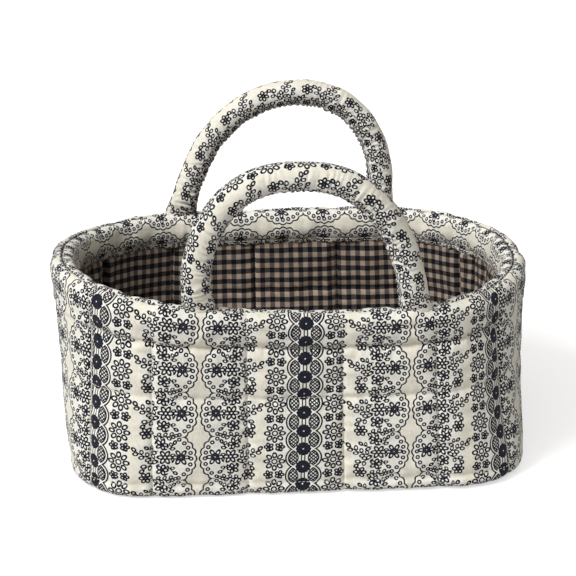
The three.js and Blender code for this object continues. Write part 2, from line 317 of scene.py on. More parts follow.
def netted_leaves(across, along):
    """Leaves filled with a net, inside a scalloped line."""
    y = (along - ROSETTE_PITCH / 2).wrapped(ROSETTE_PITCH)
    right = (across - LEAF_CENTRES[0]).length_with(y)
    left = (across - LEAF_CENTRES[1]).length_with(y)
    inside = (right < LEAF_ARC) & (left < LEAF_ARC)
    reach = LEAF_ARC + LEAF_OVERSHOOT
    border = (ink(right - LEAF_ARC, 1.2) & (left < reach)) | (ink(left - LEAF_ARC, 1.0) & (right < reach))
    one_way = ink(((across + y) * DIAGONAL).wrapped(NET_PITCH), 0.95)
    other_way = ink(((across - y) * DIAGONAL).wrapped(NET_PITCH), 0.95)
    arcs = ink(right - OUTER_ARC, 1.2) & (across > 7.4)
    return border | ((one_way | other_way) & inside) | arcs


def daisies(across, along):
    """Large daisies with a pair of small flowers, each with a dark leaf, between them."""
    y = (along - DAISY_PITCH / 2).wrapped(DAISY_PITCH)
    large = flower(across - DAISY_PLACE, y, 8, 5.7, 2.0, 1.45, 1.9)
    between = along.wrapped(DAISY_PITCH)
    aside = abs(across - SMALL_FLOWERS_PLACE) - SMALL_FLOWERS_APART
    small = flower(aside, between - 0.5, 5, 2.1, 1.25, 1.0, 0.6)
    dark = leaf(aside + 0.5, between + 2.2, 1.6, 0.95)
    return large[0] | laid_over(dark, small)[0]


print("rosettes every", round(ROSETTE_PITCH, 2), "mm, daisies every", round(DAISY_PITCH, 2), "mm")

# %% [markdown]
# A medallion is a scalloped border with a row of eyelets, a bouquet in its middle and thin sprays round
# it. A spray is the hardest motif: its stem is an arc, so distance along and beside it are an angle and a
# radius, and the berries repeat by folding the way along.

# %% The medallions
MEDALLION_PLACE = 54.2
SCALLOP_RADIUS = 22.0
SCALLOP_DEPTH = 1.3
SCALLOPS_ROUND = 22
EYELETS_ROUND = 25
EYELET_RING = 19.3
EYELET_RADIUS = 1.2
BERRY_TILT = 38.0
BERRY_SIZE = (1.4, 1.0)


def scalloped_edge(across, along):
    """The wavy border of a medallion and the row of eyelets inside it."""
    y = along.wrapped(SCALLOP_PITCH)
    x = across - MEDALLION_PLACE
    reach = x.length_with(y)
    wave = abs((y.angle_to(x) * (SCALLOPS_ROUND / 2)).cosine()) * SCALLOP_DEPTH
    border = ink(reach - wave - SCALLOP_RADIUS, 1.25) & (across > 66.0)
    hole_x, hole_y = folded_round(x, y, EYELETS_ROUND, EYELET_RING)
    eyelet, hole = petal(hole_x, hole_y, EYELET_RADIUS, EYELET_RADIUS)
    ringed = across > 50.0
    return laid_over((border, border), (eyelet & ringed, hole & ringed))


def turned(x, y, degrees):
    """The same point on axes that are turned, as forward and aside."""
    turn = np.radians(degrees)
    return x * np.cos(turn) + y * np.sin(turn), y * np.cos(turn) - x * np.sin(turn)


def twig(across, along, root, heading, length, bend, step=5.2, berry=BERRY_SIZE):
    """A stem from its root that bends with a radius, with berries on alternate sides and at its tip."""
    long_half, wide_half = berry
    x = across - root[0]
    y = (along - root[1]).wrapped(SCALLOP_PITCH)
    ahead, aside = turned(x, y, heading)
    radius = abs(bend)
    to_centre = radius - aside * np.sign(bend)
    away = radius - ahead.length_with(to_centre)
    forward = ahead.angle_to(to_centre) * radius
    nearest = (forward - step / 2 - (away > 0.0) * (step / 2)).wrapped(step)
    long_way, wide_way = turned(nearest, abs(away) - wide_half * 1.75, BERRY_TILT)
    outline, cover = petal(long_way, wide_way, long_half, wide_half, FINE_LINE)
    berry_at = forward - nearest
    whole = (berry_at > 0.5) & (berry_at < length - step * 0.3)
    tip = petal(forward - length - long_half, away, long_half, wide_half)
    stem = ink(away, FINE_LINE * 0.85) & (forward > 0.0) & (forward < length)
    return laid_over(tip, (outline & whole, cover & whole), (stem, stem))


def flower_at(across, along, place, petals, distance, half_x, half_y, centre):
    """A flower at a place in each medallion."""
    y = (along - place[1]).wrapped(SCALLOP_PITCH)
    return flower(across - place[0], y, petals, distance, half_x, half_y, centre)


def leaves_at(across, along, place, copies, distance, half_x, half_y, turn=0.0):
    """Dark leaves round a place in each medallion."""
    y = (along - place[1]).wrapped(SCALLOP_PITCH)
    leaf_x, leaf_y = folded_round(across - place[0], y, copies, distance, turn)
    return leaf(leaf_x, leaf_y, half_x, half_y)


def bouquet(across, along):
    """Open flowers and dark leaves, heaped round the middle of a medallion."""
    knot = flower_at(across, along, (54.5, 1.0), 6, 3.3, 2.1, 1.3, 1.3)
    knot_leaves = leaves_at(across, along, (54.5, 1.0), 3, 6.6, 0.75, 1.7, 0.5)
    lily = flower_at(across, along, (66.0, 1.0), 6, 4.2, 2.0, 1.25, 1.0)
    lily_leaves = leaves_at(across, along, (66.0, 1.0), 3, 2.1, 0.8, 1.5)
    lower = flower_at(across, along, (52.5, -9.6), 5, 2.6, 1.7, 1.2, 0.6)
    lower_leaves = leaves_at(across, along, (52.5, -9.6), 2, 4.9, 0.7, 1.7, 0.9)
    upper = flower_at(across, along, (52.0, 11.6), 5, 2.6, 1.7, 1.2, 0.6)
    upper_leaves = leaves_at(across, along, (52.0, 11.6), 2, 4.6, 0.7, 1.6, 0.3)
    bloom = flower_at(across, along, (41.0, -16.6), 6, 2.9, 1.5, 1.2, 0.8)
    flowers = laid_over(knot, lily_leaves, lily, lower, upper, bloom)
    return laid_over(flowers, knot_leaves, lower_leaves, upper_leaves)


def sprays(across, along):
    """Thin sprays with few berries: one crosses the cream strip, the others curl round the flowers."""
    reaching = twig(across, along, (50.0, -2.0), 170.0, 18.4, -34.0, 4.8, (1.6, 1.15))
    waving = twig(across, along, (49.5, 6.0), 192.0, 7.5, -9.0, 5.4)
    hanging = twig(across, along, (47.5, -5.0), 199.0, 9.5, 24.0, 5.2, (1.6, 1.2))
    chain = twig(across, along, (57.5, 2.0), 345.0, 6.5, -12.0, 4.0, (1.3, 0.95))
    garland = twig(across, along, (45.5, -18.6), 0.0, 15.5, 90.0, 4.6)
    inside = twig(across, along, (56.5, -5.5), 292.0, 7.5, 14.0, 4.4)
    rising = twig(across, along, (57.0, 8.0), 40.0, 6.0, 16.0, 4.4)
    return laid_over(chain, reaching, waving, hanging, garland, inside, rising)


print("medallions every", SCALLOP_PITCH, "mm,", EYELETS_ROUND, "eyelets round each")

# %% [markdown]
# The whole stripe lays its motifs side by side. In the photo they stand on white patches in the cream
# cloth, so the ground is a second mask: white under the ribbon and the daisies and inside the scallops,
# fading out softly under the sprays.

# %% The whole stripe
MEDALLION_SHIFT = 4.5
WHITE_BAND = 28.0
SPRAY_EDGE = 5.0


def lace_ground(across, along):
    """Where the cloth is white round a medallion."""
    y = along.wrapped(SCALLOP_PITCH)
    x = across - MEDALLION_PLACE
    reach = x.length_with(y)
    inside_scallops = (reach < SCALLOP_RADIUS + 0.5) & (x > 0.0)
    under_sprays = ((SCALLOP_RADIUS - reach) / SPRAY_EDGE & 1.0) | 0.0
    return inside_scallops | under_sprays


def lace_print(across, along):
    """All the motifs of the stripe, and where its ground is white."""
    folded = abs(across.wrapped(2 * STRIPE_HALF))
    shifted = along - MEDALLION_SHIFT
    drawn = rosettes(folded, along) | netted_leaves(folded, along) | daisies(folded, along)
    edge = scalloped_edge(folded, shifted)
    medallion = laid_over(bouquet(folded, shifted), sprays(folded, shifted), edge)
    return drawn | medallion[0], (folded < WHITE_BAND) | lace_ground(folded, shifted)


print("the stripe repeats every", 2 * STRIPE_HALF, "mm")

# %% [markdown]
# Cotton is matt, with a faint soft sheen, and its threads only show up close, so the weave is a tiny bump.
# The print changes the colour and nothing else: the dye has soaked into the threads.

# %% Printed cotton
CREAM = (0.815, 0.785, 0.68, 1.0)
LACE_WHITE = (0.825, 0.815, 0.76, 1.0)
SHADED_CREAM = (0.60, 0.56, 0.47, 1.0)
NAVY_INK = (0.006, 0.008, 0.018, 1.0)
THREAD_PITCH = 0.55
WEAVE_DEPTH = 0.0002
CRINKLE_HEIGHT = 3.0


def weave_bump(start, across, along, shader, strength, crinkle=0.0):
    """Threads over and under, with a little unevenness and fine upright crinkles."""
    over = (across * (2 * np.pi / THREAD_PITCH)).sine() * (along * (2 * np.pi / THREAD_PITCH)).sine()
    place = start.node("ShaderNodeCombineXYZ", {}, {0: across, 1: along})
    slubs = start.node("ShaderNodeTexNoise", {}, {"Vector": place, "Scale": 0.35, "Detail": 4.0})
    stretched = start.node("ShaderNodeCombineXYZ", {}, {0: across, 1: along * 0.22})
    crinkles = start.node("ShaderNodeTexNoise", {}, {"Vector": stretched, "Scale": 0.6, "Detail": 3.0})
    height = over * 0.5 + slubs * 2.0 + crinkles * crinkle
    sockets = {"Height": height, "Strength": strength, "Distance": WEAVE_DEPTH}
    bump = start.node("ShaderNodeBump", {}, sockets)
    start.tree.links.new(bump.socket, shader.inputs["Normal"])
    return slubs


def finish_cloth(start, shader, colour, roughness):
    """Links the colour and sets the matt surface of cotton."""
    start.tree.links.new(colour.socket, shader.inputs["Base Color"])
    shader.inputs["Roughness"].default_value = roughness
    shader.inputs["Sheen Weight"].default_value = 0.05
    shader.inputs["Sheen Roughness"].default_value = 0.5
    shader.inputs["Specular IOR Level"].default_value = 0.15


def make_printed_cotton():
    """Cream cotton with the navy lace stripe."""
    material, shader, start = new_material("printed_cotton")
    across, along = cloth_uv(start)
    drawn, white = lace_print(across, along)
    slubs = weave_bump(start, across, along, shader, 0.35, CRINKLE_HEIGHT)
    place = start.node("ShaderNodeCombineXYZ", {}, {0: across, 1: along * 0.6})
    grain = start.node("ShaderNodeTexNoise", {}, {"Vector": place, "Scale": 0.55, "Detail": 3.0})
    ground = ((grain - 0.42) * 1.5).mixed(white.mixed(CREAM, LACE_WHITE), SHADED_CREAM)
    faded = drawn * (0.97 + slubs * 0.05)
    finish_cloth(start, shader, faded.mixed(ground, NAVY_INK), 0.88)
    return material


printed_cotton = make_printed_cotton()
print("print nodes:", len(printed_cotton.node_tree.nodes))

# %% [markdown]
# The lining is woven in checks, not printed. The threads of the seams are plain colours.

# %% Checked cotton and thread
CHECK_ACROSS = 8.4
CHECK_ALONG = 9.1
TAUPE_YARN = (0.44, 0.35, 0.28, 1.0)
NAVY_YARN = (0.003, 0.004, 0.009, 1.0)
TWILL_PITCH = 1.1
NAVY_OVER_WARP = 0.61
NAVY_OVER_WEFT = 0.72


def make_gingham():
    """Woven checks: where a navy and a taupe stripe cross, both yarns show in turn."""
    material, shader, start = new_material("gingham_cotton")
    across, along = cloth_uv(start)
    warp = abs(across.wrapped(CHECK_ACROSS)) < CHECK_ACROSS / 4
    weft = abs(along.wrapped(CHECK_ALONG)) < CHECK_ALONG / 4
    twill = (((across + along) * (2 * np.pi / TWILL_PITCH)).sine() > 0.0) * 0.24
    both = warp & weft
    one_yarn = (warp - both) * (twill + NAVY_OVER_WARP)
    navy_share = both + one_yarn + (weft - both) * (twill + NAVY_OVER_WEFT)
    weave_bump(start, across, along, shader, 0.5)
    finish_cloth(start, shader, navy_share.mixed(TAUPE_YARN, NAVY_YARN), 0.9)
    return material


def make_thread(name, dark, light):
    """Sewing thread with a slight twist."""
    material, shader, start = new_material(name)
    place = start.node("ShaderNodeTexCoord", {}, {}, "Object")
    twist = start.node("ShaderNodeTexNoise", {}, {"Vector": place, "Scale": 900.0})
    finish_cloth(start, shader, twist.mixed(dark, light), 0.7)
    return material


gingham_cotton = make_gingham()
pale_thread = make_thread("pale_thread", (0.70, 0.66, 0.56, 1.0), (0.84, 0.81, 0.73, 1.0))
white_thread = make_thread("white_thread", (0.88, 0.88, 0.87, 1.0), (0.95, 0.95, 0.94, 1.0))
navy_thread = make_thread("navy_thread", (0.008, 0.010, 0.018, 1.0), (0.020, 0.024, 0.040, 1.0))
print("checks", CHECK_ACROSS, "by", CHECK_ALONG, "mm")

# %% [markdown]
# The body is a strip of cloth that runs round a rounded rectangle. A point on it is named by three
# numbers: its share of the way round, its height, and its depth inside the wall. Going by share of the way
# round, and not by angle, keeps the cloth's width the same everywhere, as a real strip has it.

# %% The outline of the body
BODY_HEIGHT = box_mm("outer_front_panel")[1][2]
BASE_PANEL_CORNER = box_mm("outer_base_panel")[1][:2]
RIM_THICKNESS = 18.0
RIM_OVERHANG = 3.0
RIM_HEIGHT = 29.0
BASE_EDGE = 9.0
BASE_CLEARANCE = 1.3
RIM_HALF = np.array([190.0, 124.0])
MOUTH_HALF = RIM_HALF - RIM_OVERHANG
BASE_HALF = BASE_PANEL_CORNER + BASE_EDGE + BASE_CLEARANCE
MOUTH_CORNER = 111.0
BASE_CORNER = 61.0
BASE_SHIFT = 1.8
ROUND = 1063.0
SAG_WAVES = ((-3.1, 1.0), (3.9, 2.1), (-0.3, -2.5))
RIGHT_END_LEAN = 2.4
CORNER_SPREAD = 3.0
FRONT_SPREAD = 1.6


def outline(share, height, depth):
    """Points of the body at shares of the way round from the front's middle."""
    level = height / BODY_HEIGHT
    half_x = BASE_HALF[0] + (MOUTH_HALF[0] - BASE_HALF[0]) * level
    half_y = BASE_HALF[1] + (MOUTH_HALF[1] - BASE_HALF[1]) * level
    corner = BASE_CORNER + (MOUTH_CORNER - BASE_CORNER) * level
    quarter = np.floor(share * 4) % 4
    within = share * 4 - np.floor(share * 4)
    within = np.where(quarter % 2 == 1, 1 - within, within)
    straight_x = half_x - corner
    straight_y = half_y - corner
    way = within * (straight_x + np.pi / 2 * corner + straight_y)
    turn = np.clip((way - straight_x) / corner, 0, np.pi / 2)
    past = np.clip(way - straight_x - np.pi / 2 * corner, 0, None)
    x = np.minimum(way, straight_x) + (corner - depth) * np.sin(turn)
    y = straight_y + (corner - depth) * np.cos(turn) - past
    sign_x = np.where(quarter >= 2, -1.0, 1.0)
    sign_y = np.where((quarter == 0) | (quarter == 3), -1.0, 1.0)
    return x * sign_x + BASE_SHIFT * (1 - level), y * sign_y


def mouth_sag(x, y):
    """How the soft mouth dips at the front and lifts at the left, in millimetres."""
    angle = np.arctan2(y / MOUTH_HALF[1], x / MOUTH_HALF[0])
    sag = 0.0
    for order, (cosine, sine) in enumerate(SAG_WAVES, start=1):
        sag = sag + cosine * np.cos(order * angle) + sine * np.sin(order * angle)
    return sag


def bell(distance, width):
    """1 at a place, and quickly down to 0 away from it."""
    return np.exp(-((distance / width) ** 2))


def settled(x, y, z):
    """How the standing basket leans in at its right end, and spreads at the foot of it."""
    lean = RIGHT_END_LEAN * np.clip((x - 110) / 60, 0, 1) * np.clip((z - 15) / 40, 0, 1)
    corner = CORNER_SPREAD * bell(x - 160, 26) * bell(y + 85, 40) * bell(z - 14, 26)
    front = FRONT_SPREAD * np.clip(-y / 60, 0, 1) * bell(z, 30)
    return x - lean + corner, y - corner - front


print("base half sizes", np.round(BASE_HALF, 1), "body height", round(BODY_HEIGHT, 1))

# %% [markdown]
# A section of the wall is a short path of depth and height, and a handle's centre line is a path too.
# These helpers space such a line evenly, which keeps the quads square, and round its corners, as padding
# does. The ripples make cloth uneven: a sum of waves from a seeded draw, so the basket comes out the same
# each time.

# %% Lines and ripples
RIPPLE_WAVES = 16
RIPPLE_CALM = 1.6


def ripples(u, v, wavelength, seed, stretch=1.0):
    """Smooth unevenness: a sum of waves in seeded directions, about -1 to 1."""
    chance = np.random.default_rng(seed)
    total = 0.0
    for _ in range(RIPPLE_WAVES):
        heading = chance.uniform(0, 2 * np.pi)
        number = 2 * np.pi / (wavelength * chance.uniform(0.7, 1.5))
        phase = chance.uniform(0, 2 * np.pi)
        total = total + np.sin(number * (u * np.cos(heading) + v * np.sin(heading) / stretch) + phase)
    return total / np.sqrt(RIPPLE_WAVES / 2) / RIPPLE_CALM


def softened(points, width):
    """The same line with its corners rounded over a width in points."""
    window = np.hanning(width) / np.hanning(width).sum()
    ends = width // 2
    held = np.vstack([np.repeat(points[:1], ends, 0), points, np.repeat(points[-1:], ends, 0)])
    return np.stack([np.convolve(values, window, "valid") for values in held.T], -1)


def way_along(points):
    """How far along a line each of its points is."""
    return np.r_[0, np.cumsum(np.linalg.norm(np.diff(points, axis=0), axis=1))]


def evened(points, count):
    """The same line with points at an even step, and how far along each one is."""
    lengths = way_along(points)
    even = np.linspace(0, lengths[-1], count)
    return np.stack([np.interp(even, lengths, values) for values in points.T], -1), even


def smooth_path(points, spacing):
    """A path of [depth, height] points, rounded a little and spaced evenly."""
    points = np.array(points, float)
    lengths = way_along(points)
    fine = np.arange(0, lengths[-1], 0.5)
    rounded = softened(np.stack([np.interp(fine, lengths, values) for values in points.T], -1), 15)
    return evened(rounded, int(way_along(rounded)[-1] / spacing) + 1)


def arc_points(centre, radius, start, stop, count=8):
    """Points of an arc in a section, between two angles in degrees."""
    angles = np.radians(np.linspace(start, stop, count))
    return [[centre[0] + radius * np.cos(a), centre[1] + radius * np.sin(a)] for a in angles]


print("ripples sum", RIPPLE_WAVES, "waves")

# %% [markdown]
# Quilting is what makes the wall look soft: the seams hold the layers together, and the wadding lifts the
# cloth between them. Here the lift grows quickly away from a seam and then levels off, and short puckers
# run off each seam where the thread gathers the cloth.

# %% Quilting
QUILT_SPACING = 72.5
FRONT_QUILT_SHIFT = -4.75
BACK_QUILT_SHIFT = -12.25
SIDE_SEAM_AT = ROUND / 4
SIDE_SEAM_CLEAR = 20.0
WAIST = BODY_HEIGHT - RIM_HEIGHT
QUILT_HEIGHTS = (12.5, 84.5)
PUFF = 3.8
PUFF_REACH = 6.5
PUCKER_PITCH = 9.0
PUCKER_REACH = 8.0
PUCKER_START = 1.5
WIDE_CREASES = 0.38
FINE_CREASES = 0.25
STITCH_DEPTH = 0.9


def quilt_columns(shift):
    """Places of the upright seams on one panel, kept clear of the side seams."""
    places = shift + QUILT_SPACING * (np.arange(-4, 5) + 0.5)
    inside = places[np.abs(places) < SIDE_SEAM_AT - SIDE_SEAM_CLEAR]
    return np.r_[-SIDE_SEAM_AT, inside, SIDE_SEAM_AT]


def distance_to(values, places):
    """Distance from each value to the nearest of the places."""
    return np.min([np.abs(values - place) for place in places], axis=0)


def puckers(along_seam, off_seam, from_seam, seed):
    """Short gathers that run off a seam, from -1 to 1."""
    near = np.exp(-from_seam / PUCKER_REACH) * (1 - np.exp(-from_seam / PUCKER_START))
    return ripples(along_seam, off_seam * 0.25, PUCKER_PITCH, seed) * near


def quilt_lift(u, v, columns, rows, seed, puff=PUFF):
    """How far the cloth stands off its seams, with puckers beside them."""
    from_column = distance_to(u, columns)
    from_row = distance_to(v, rows)
    held_by_rows = 1 - 0.6 * np.exp(-from_row / (1.4 * PUFF_REACH))
    lift = puff * (1 - np.exp(-from_column / PUFF_REACH)) * held_by_rows
    gathered = puckers(v, u, from_column, seed) + puckers(u, v, from_row, seed + 1)
    creases = WIDE_CREASES * ripples(u, v, 38.0, seed + 2, 0.6) + FINE_CREASES * ripples(u, v, 15.0, seed + 3)
    stitched = 1.3 * bell(from_column, 0.9) + bell(from_row, 1.9)
    return lift - 0.4 * puff + gathered + creases - STITCH_DEPTH * stitched


print("seams up the front at", quilt_columns(FRONT_QUILT_SHIFT)[1:-1], "mm from its middle")

# %% [markdown]
# One helper turns a grid of points into a cloth: a sheet of quads with its map in millimetres. Cotton has
# hardly any thickness, but a sheet without one shows no edge, so a modifier thickens it inwards and leaves
# the outer side where it is.

# %% Cloth from a grid
GRID = 1.7
CLOTH_THICKNESS = 0.9
SEAM_COLUMNS = (-1.3, -0.65, 0.0, 0.65, 1.3)


def grid_corners(grid):
    """The four corners of every cell of a grid, in order round the cell."""
    return [grid[:-1, :-1], grid[:-1, 1:], grid[1:, 1:], grid[1:, :-1]]


def cloth_object(name, points, across, along, material):
    """A sheet of cloth from a grid of points (rows, columns, 3) in millimetres."""
    rows, columns = points.shape[:2]
    index = np.arange(rows * columns).reshape(rows, columns)
    mesh = bpy.data.meshes.new(name)
    faces = np.stack(grid_corners(index), -1).reshape(-1, 4)
    mesh.from_pydata((points.reshape(-1, 3) * MM).tolist(), [], faces.tolist())
    uv = mesh.uv_layers.new(name="cloth_mm")
    loops = np.stack(grid_corners(np.stack([across, along], -1)), 2)
    uv.data.foreach_set("uv", loops.reshape(-1).astype(np.float32))
    mesh.shade_smooth()
    mesh.materials.append(material)
    piece = linked(name, mesh)
    shell = piece.modifiers.new("thickness", "SOLIDIFY")
    shell.thickness = CLOTH_THICKNESS * MM
    shell.offset = -1.0
    return piece


def section_normals(path):
    """Directions square to a section path, to the left of the way it runs."""
    tangent = np.gradient(path, axis=0)
    tangent = tangent / np.hypot(*tangent.T)[:, None]
    return np.c_[-tangent[:, 1], tangent[:, 0]]


def wall_grid(path, shares, lift):
    """Points of a wall: the section path carried round the body and lifted off its surface."""
    normals = section_normals(path)
    depth = path[:, :1] + normals[:, :1] * lift
    height = path[:, 1:] + normals[:, 1:] * lift
    x, y = outline(shares[None, :] + 0 * depth, path[:, 1:] + 0 * depth, depth)
    level = np.clip(height / BODY_HEIGHT, 0, 1.1) ** 1.5
    raised = height + mouth_sag(x, y) * level
    x, y = settled(x, y, height)
    return np.stack([x, y, raised], -1)


def panel_shares(side, seams=()):
    """Shares of the way round for the front (0) or back (0.5) panel, with more columns beside its seams."""
    even = np.linspace(-0.25, 0.25, int(ROUND / 2 / GRID) + 1) * ROUND
    beside = np.add.outer(np.array(seams), SEAM_COLUMNS).ravel()
    return side + np.unique(np.r_[even, beside].round(3)) / ROUND


print("columns in half the body:", len(panel_shares(0.0)))

# %% [markdown]
# The outer cloth comes up from under the base edge, is sewn through at the waist, and rolls over the
# padded rim to the seam on its top. A cloth simulation could drape it, but the photo shows where each seam
# lies, so here its section is drawn once and formulas lift the grid off it.

# %% The section of the outer cloth
SEAM_DIP = [6.2, BODY_HEIGHT - 1.8]
OUTER_PATH = [
    [BASE_EDGE + 1.0, 0.4],
    *arc_points((BASE_EDGE, BASE_EDGE + 0.3), BASE_EDGE, 270, 180),
    [-0.6, 45.0],
    [0.2, WAIST - 5.0],
    [0.6, WAIST],
    [-1.3, WAIST + 4.3],
    [-2.9, WAIST + 11.0],
    *arc_points((4.8, BODY_HEIGHT - 8.4), 8.4, 180, 85),
    SEAM_DIP,
]
outer_path, outer_along = smooth_path(OUTER_PATH, GRID)
OUTER_LENGTH = outer_along[-1]
outer_rows = [float(np.interp(height, outer_path[:, 1], outer_along)) for height in (*QUILT_HEIGHTS, WAIST)]
print("section", round(OUTER_LENGTH, 1), "mm long, seams at", np.round(outer_rows, 1))

# %% [markdown]
# Two panels meet at the ends. Near them another piece of the stripe is set in with a seam of its own, the
# puffs turn flatter and the rim bulges less. The print isn't straight either: it leans a little, and the
# quilting has drawn it in between the ribbons.

# %% Outer panels
FRONT_FEET = (-78.0, 86.6)
REAR_FEET = (-85.1, 82.3)
FRONT_PRINT_SHIFT = 1.6
BACK_PRINT_SHIFT = -9.0
END_SEAMS_AT = (-168.6, 162.8)
END_SEAM_CLEAR = 12.0
END_PRINT_JUMPS = (-43.0, 47.0)
ENDS_FROM = 150.0
ENDS_OVER = 30.0
PRINT_LEAN = 0.029
PRINT_LEANS_ROUND = 80.0
PRINT_DRAWN_IN = (3.0, -5.0)
FOOT_PULL_REACH = 16.0
RIM_PUFF = 1.5
RIM_PUFF_REACH = 6.0
RIM_LUMPS = 0.55
RIM_GATHERS = 0.5
WAIST_TUCK = 0.9
END_BULGE = 2.0


def outer_columns(shift, print_shift):
    """Places of one panel's upright seams: the quilting and the pieces set in at its ends."""
    quilted = quilt_columns(shift)
    kept = quilted[np.abs(quilted) < END_SEAMS_AT[1] - END_SEAM_CLEAR]
    return np.sort(np.r_[kept, quilted[[0, -1]], np.array(END_SEAMS_AT) + print_shift])


def printed_across(u, v, print_shift):
    """Where the print lies across a panel, with another part of the stripe beyond each end seam."""
    placed = u - print_shift
    left_end = placed < END_SEAMS_AT[0]
    right_end = placed > END_SEAMS_AT[1]
    set_in = placed + left_end * END_PRINT_JUMPS[0] + right_end * END_PRINT_JUMPS[1]
    share = np.minimum(np.abs(u) / (2 * STRIPE_HALF), 1)
    drawn_in = np.where(u > 0, PRINT_DRAWN_IN[0] * np.sin(np.pi * share), PRINT_DRAWN_IN[1] * share**3)
    return set_in - PRINT_LEAN * (v - PRINT_LEANS_ROUND) - drawn_in


def foot_pull(u, v, feet, seed):
    """Drag lines in the cloth beside the sewn feet of a handle."""
    return ripples(u * 1.2, v * 0.3, 9.0, seed) * np.exp(-distance_to(u, feet) / FOOT_PULL_REACH)


def rim_lift(u, v, columns, feet, at_end, seed):
    """How far the cloth stands off the rim's roll, gathered at the seams below and on top of it."""
    from_waist = v - outer_rows[-1]
    to_seam = OUTER_LENGTH - v
    lift = RIM_PUFF * (1 - np.exp(-distance_to(u, columns) / RIM_PUFF_REACH)) - 1.0
    lift = lift + RIM_LUMPS * ripples(u, v, 20.0, seed + 7, 0.8)
    gathers = RIM_GATHERS * ripples(u, v * 0.3, 7.0, seed + 8)
    lift = lift + gathers * (np.exp(-from_waist.clip(0) / 7) + np.exp(-to_seam / 5))
    pulled = lift * (1 - 0.45 * at_end) + 0.8 * foot_pull(u, v, feet, seed + 9)
    return pulled * (1 - np.exp(-to_seam / 3))


def waist_lift(from_waist, at_end):
    """The seam at the waist draws the cloth in, and at the ends it bulges just above."""
    return -WAIST_TUCK * np.exp(-np.abs(from_waist) / 1.6) + END_BULGE * at_end * bell(from_waist - 1, 5)


def make_outer_panel(name, side, columns, feet, print_shift, seed):
    """One outer panel, from the base edge to the seam on top of the rim."""
    shares = panel_shares(side, columns[1:-1])
    u, v = np.meshgrid((shares - side) * ROUND, outer_along)
    from_waist = v - outer_rows[-1]
    at_end = np.clip((np.abs(u) - ENDS_FROM) / ENDS_OVER, 0, 1)
    lift = quilt_lift(u, v, columns, [0.0, *outer_rows, OUTER_LENGTH], seed)
    lift = lift * (1 - 0.6 * at_end) + 1.2 * at_end
    under_waist = 0.8 * ripples(u, v * 0.3, 8.0, seed + 10) * np.exp(from_waist.clip(None, 0) / 9)
    on_rim = np.clip(from_waist / 6, 0, 1)
    from_base = np.clip(v / 12, 0, 1)
    lift = (lift + under_waist) * (1 - on_rim) * from_base
    lift = lift + rim_lift(u, v, columns, feet, at_end, seed) * on_rim + waist_lift(from_waist, at_end)
    points = wall_grid(outer_path, shares, lift)
    wavering = 0.9 * ripples(u, v * 0, 42.0, seed + 12) + 0.35 * ripples(u, v * 0, 12.0, seed + 13)
    points[..., 2] += wavering * bell(from_waist, 10)
    return cloth_object(name, points, printed_across(u, v, print_shift), v, printed_cotton)


front_columns = outer_columns(FRONT_QUILT_SHIFT, FRONT_PRINT_SHIFT)
back_columns = outer_columns(BACK_QUILT_SHIFT, BACK_PRINT_SHIFT)
outer_front = make_outer_panel(
    "outer_front_quilt", 0.0, front_columns, FRONT_FEET, FRONT_PRINT_SHIFT, seed=11
)
outer_back = make_outer_panel("outer_back_quilt", 0.5, back_columns, REAR_FEET, BACK_PRINT_SHIFT, seed=37)
print("outer panel points:", len(outer_front.data.vertices), len(outer_back.data.vertices))

# %% [markdown]
# The rim's inner side is a band of the same cloth, cut the other way, so its stripe lies along the mouth.
# Its lower edge is a sewn hem, and it rolls over the padding like the outer cloth, only turned inwards.

# %% Facing of the rim
FACING_PATH = [
    SEAM_DIP,
    *arc_points((7.8, BODY_HEIGHT - 8.6), 8.6, 95, 0),
    [17.4, WAIST + 15.5],
    [17.0, WAIST + 11.0],
    [14.4, WAIST + 4.0],
    [12.0, WAIST - 1.5],
]
FACING_GRID = 1.5
FACING_MIDDLE = 18.0
BACK_FACING_SHIFT = 14.5
HEM_SEAM = 5.0
HEM_PULL = 0.45
HEM_DENT = 0.9
FACING_PUFF = 1.3
CALM_FROM = 190.0
CALM_OVER = 30.0
facing_path, facing_along = smooth_path(FACING_PATH, FACING_GRID)
FACING_LENGTH = facing_along[-1]


def make_facing(name, side, feet, print_shift, seed):
    """Half of the rim's inner band, with its print lying on its side."""
    shares = panel_shares(side)
    u, v = np.meshgrid((shares - side) * ROUND, facing_along)
    calm = 1 - 0.6 * np.clip((np.abs(u) - CALM_FROM) / CALM_OVER, 0, 1)
    lift = FACING_PUFF * (1 - np.exp(-distance_to(v, [0.0, FACING_LENGTH]) / 4)) - 0.7
    lift = lift + 0.55 * calm * ripples(u, v, 16.0, seed, 1.6)
    lift = lift + 0.5 * ripples(u, v, 40.0, seed + 1)
    hem_pull = HEM_PULL * ripples(u, v * 0, 7.0, seed + 2) * np.exp(-np.abs(v - FACING_LENGTH) / 5)
    hem_dent = HEM_DENT * bell(FACING_LENGTH - HEM_SEAM - v, 1.6)
    lift = lift + hem_pull - hem_dent + 0.7 * foot_pull(u, v, feet, seed + 4)
    points = wall_grid(facing_path, shares, lift * (1 - np.exp(-v / 3)))
    across = STRIPE_HALF + v - FACING_MIDDLE
    return cloth_object(name, points, across, u + side * ROUND - print_shift, printed_cotton)


facing_front = make_facing("rim_facing_front_cloth", 0.0, FRONT_FEET, 0.0, seed=51)
facing_back = make_facing("rim_facing_back_cloth", 0.5, REAR_FEET, BACK_FACING_SHIFT, seed=53)
print("facing depth", round(FACING_LENGTH, 1))

# %% [markdown]
# The lining hangs from behind the facing's hem and is quilted with the outer panels. It is a little too
# large for the room inside, as linings are, so it has slack between its seams and a deep fold in each
# corner.

